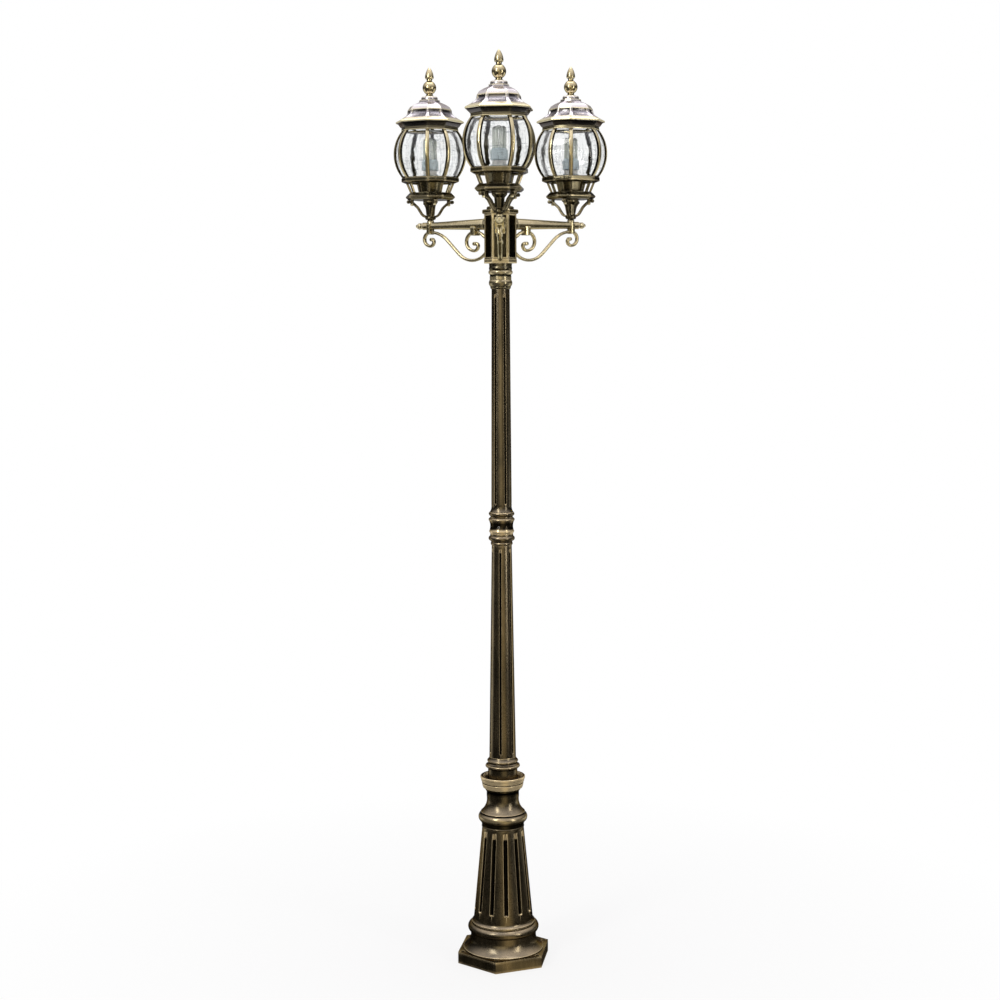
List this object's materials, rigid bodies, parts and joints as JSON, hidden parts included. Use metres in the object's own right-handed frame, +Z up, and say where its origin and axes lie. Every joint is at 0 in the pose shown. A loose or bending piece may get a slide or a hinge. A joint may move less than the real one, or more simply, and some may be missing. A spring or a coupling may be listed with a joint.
{
  "type": "triple head lamp post",
  "caption": "Outdoor lamp post in antique bronze with a fluted pedestal and shaft, scrolled arms and eight-sided lanterns with curved clear glass.",
  "frame": {"origin": "centre of the bolt circle, on the ground under the foot", "axes": "+Z up along the post, front arm along -Y, +X to the right of a viewer in front"},
  "size_m": [0.5445, 0.4898, 2.3],
  "materials": {
    "post_bronze": "antique bronze, semi-gloss, rubbed gold on crests and edges",
    "gilt_bronze": "antique bronze rubbed through to gold, satin",
    "roof_bronze": "pale antique brass lacquer, semi-gloss",
    "clear_glass": "clear seeded glass, gloss",
    "lamp_white": "white plastic and opal tubes, gloss",
    "lampholder": "white, satin",
    "zinc_steel": "zinc plated"
  },
  "bodies": {
    "post": {"foot_casting": "post_bronze", "pedestal_column": "post_bronze", "pedestal_cup": "post_bronze", "tie_rod": "zinc_steel", "tie_nuts": "zinc_steel", "lower_collar": "post_bronze", "lower_post": "post_bronze", "lower_post_cap": "post_bronze", "post_coupling": "post_bronze", "set_screws": "zinc_steel", "upper_post": "post_bronze", "top_collar": "gilt_bronze", "hub_body": "post_bronze", "hub_cap": "gilt_bronze", "hub_knob": "post_bronze", "scroll_clips": "gilt_bronze", "arm_nuts": "zinc_steel", "bracket_screws": "gilt_bronze", "arm_front": "post_bronze", "arm_ferrule_front": "gilt_bronze", "outer_scroll_front": "gilt_bronze", "inner_scroll_front": "gilt_bronze", "stand_front": "post_bronze", "gallery_front": "gilt_bronze", "lamp_cup_front": "post_bronze", "socket_front": "lampholder", "glass_front": "clear_glass", "cage_front": "gilt_bronze", "bridge_front": "zinc_steel", "arm_right": "post_bronze", "arm_ferrule_right": "gilt_bronze", "outer_scroll_right": "gilt_bronze", "inner_scroll_right": "gilt_bronze", "stand_right": "post_bronze", "gallery_right": "gilt_bronze", "lamp_cup_right": "post_bronze", "socket_right": "lampholder", "glass_right": "clear_glass", "cage_right": "gilt_bronze", "bridge_right": "zinc_steel", "arm_left": "post_bronze", "arm_ferrule_left": "gilt_bronze", "outer_scroll_left": "gilt_bronze", "inner_scroll_left": "gilt_bronze", "stand_left": "post_bronze", "gallery_left": "gilt_bronze", "lamp_cup_left": "post_bronze", "socket_left": "lampholder", "glass_left": "clear_glass", "cage_left": "gilt_bronze", "bridge_left": "zinc_steel"},
    "roof_front": {"roof_front": "roof_bronze"},
    "finial_front": {"finial_front": "gilt_bronze"},
    "bulb_front": {"bulb_front": "lamp_white"},
    "roof_right": {"roof_right": "roof_bronze"},
    "finial_right": {"finial_right": "gilt_bronze"},
    "bulb_right": {"bulb_right": "lamp_white"},
    "roof_left": {"roof_left": "roof_bronze"},
    "finial_left": {"finial_left": "gilt_bronze"},
    "bulb_left": {"bulb_left": "lamp_white"}
  },
  "joints": [
    {"name": "roof_lift_front", "type": "slide", "parent": "post", "child": "roof_front", "axis": [0, 0, 1], "range_m": [0, 0.12]},
    {"name": "finial_thread_front", "type": "hinge", "parent": "roof_front", "child": "finial_front", "pos_m": [0, -0.2075, 2.225], "axis": [0, 0, 1], "range_deg": [0, 1080]},
    {"name": "bulb_thread_front", "type": "hinge", "parent": "post", "child": "bulb_front", "pos_m": [0, -0.2075, 2.03], "axis": [0, 0, 1], "range_deg": [0, 1080]},
    {"name": "roof_lift_right", "type": "slide", "parent": "post", "child": "roof_right", "axis": [0, 0, 1], "range_m": [0, 0.12]},
    {"name": "finial_thread_right", "type": "hinge", "parent": "roof_right", "child": "finial_right", "pos_m": [0.1797, 0.10375, 2.225], "axis": [0, 0, 1], "range_deg": [0, 1080]},
    {"name": "bulb_thread_right", "type": "hinge", "parent": "post", "child": "bulb_right", "pos_m": [0.1797, 0.10375, 2.03], "axis": [0, 0, 1], "range_deg": [0, 1080]},
    {"name": "roof_lift_left", "type": "slide", "parent": "post", "child": "roof_left", "axis": [0, 0, 1], "range_m": [0, 0.12]},
    {"name": "finial_thread_left", "type": "hinge", "parent": "roof_left", "child": "finial_left", "pos_m": [-0.1797, 0.10375, 2.225], "axis": [0, 0, 1], "range_deg": [0, 1080]},
    {"name": "bulb_thread_left", "type": "hinge", "parent": "post", "child": "bulb_left", "pos_m": [-0.1797, 0.10375, 2.03], "axis": [0, 0, 1], "range_deg": [0, 1080]}
  ]
}
